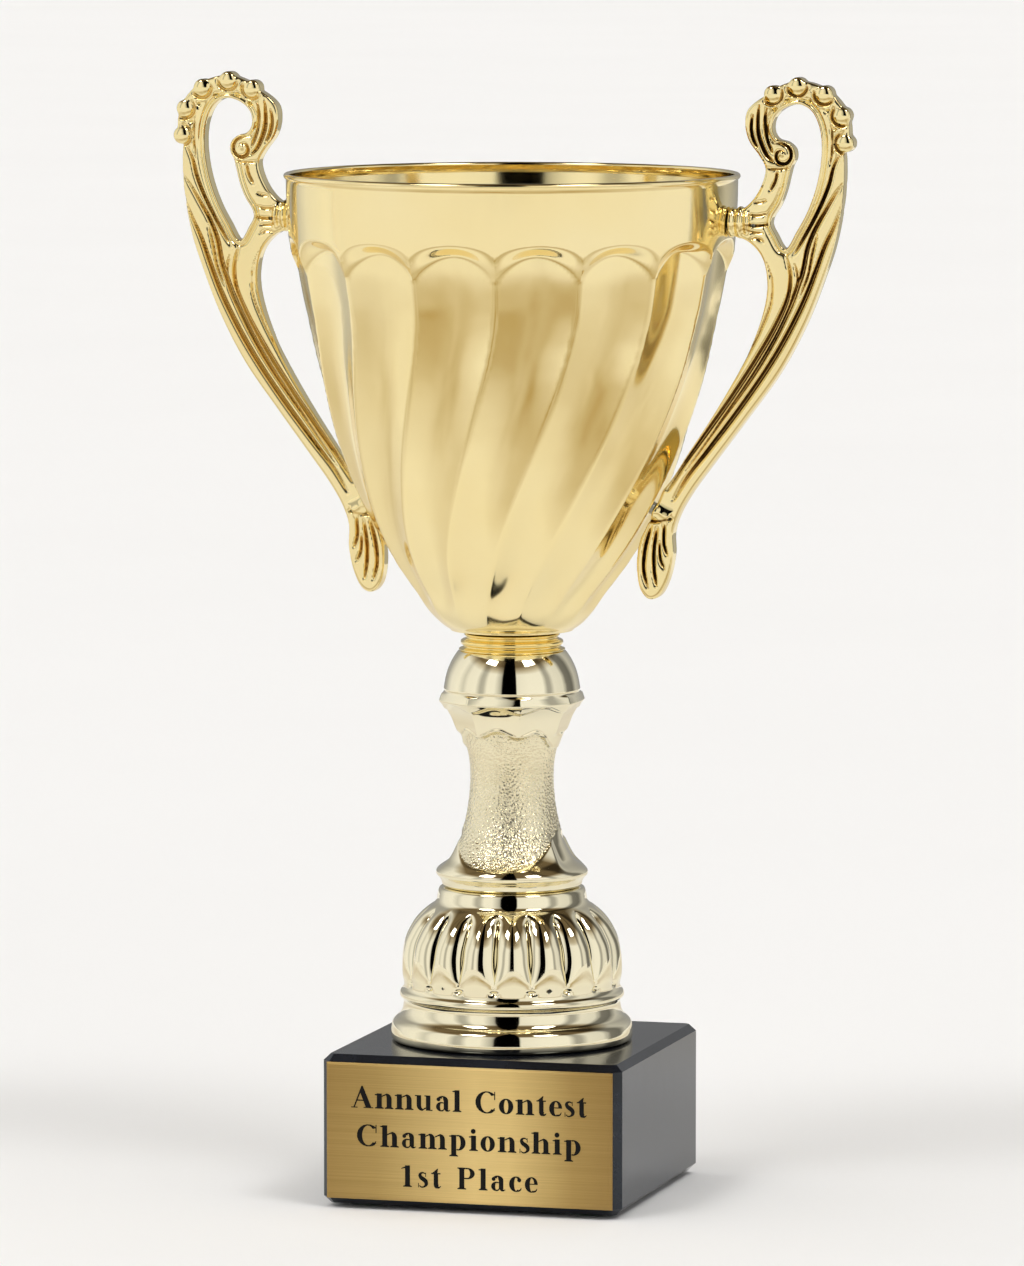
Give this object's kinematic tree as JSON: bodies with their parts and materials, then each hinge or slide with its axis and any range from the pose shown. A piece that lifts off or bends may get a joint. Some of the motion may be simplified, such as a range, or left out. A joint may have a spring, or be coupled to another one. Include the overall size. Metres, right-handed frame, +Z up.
{
  "type": "cup trophy",
  "caption": "Two-handled presentation cup with swept flutes on a waisted stem and gadrooned dome, standing on a square stone block with a brass name plate.",
  "frame": {"origin": "centre of the underside of the felt pads, on the surface the trophy stands on", "axes": "+Z up the cup's axis, -Y out of the name plate, the handles along +X and -X"},
  "size_m": [0.186, 0.121, 0.2994],
  "materials": {
    "gold_sheet": "polished",
    "gold_plating": "polished",
    "pale_gold_plating": "polished",
    "polished_stone": "polished",
    "brushed_brass": "satin",
    "zinc_steel": "satin",
    "felt": "matte",
    "foam_tape": "matte"
  },
  "bodies": {
    "root": {"stone_base": "polished_stone", "name_plate": "brushed_brass", "plate_tape": "foam_tape", "foot_pad_front_left": "felt", "foot_pad_front_right": "felt", "foot_pad_rear_left": "felt", "foot_pad_rear_right": "felt", "tie_rod": "zinc_steel", "base_washer": "zinc_steel", "base_lock_washer": "zinc_steel", "base_nut": "zinc_steel", "cup_washer": "zinc_steel", "cup_nut": "zinc_steel", "dome_riser": "pale_gold_plating", "stem_riser": "pale_gold_plating", "cup_collar": "gold_plating", "cup_bowl": "gold_sheet", "handle_right": "gold_plating", "handle_left": "gold_plating", "upper_screw_right": "zinc_steel", "upper_screw_washer_right": "zinc_steel", "upper_screw_left": "zinc_steel", "upper_screw_washer_left": "zinc_steel", "lower_screw_right": "zinc_steel", "lower_screw_washer_right": "zinc_steel", "lower_screw_left": "zinc_steel", "lower_screw_washer_left": "zinc_steel"}
  },
  "joints": []
}
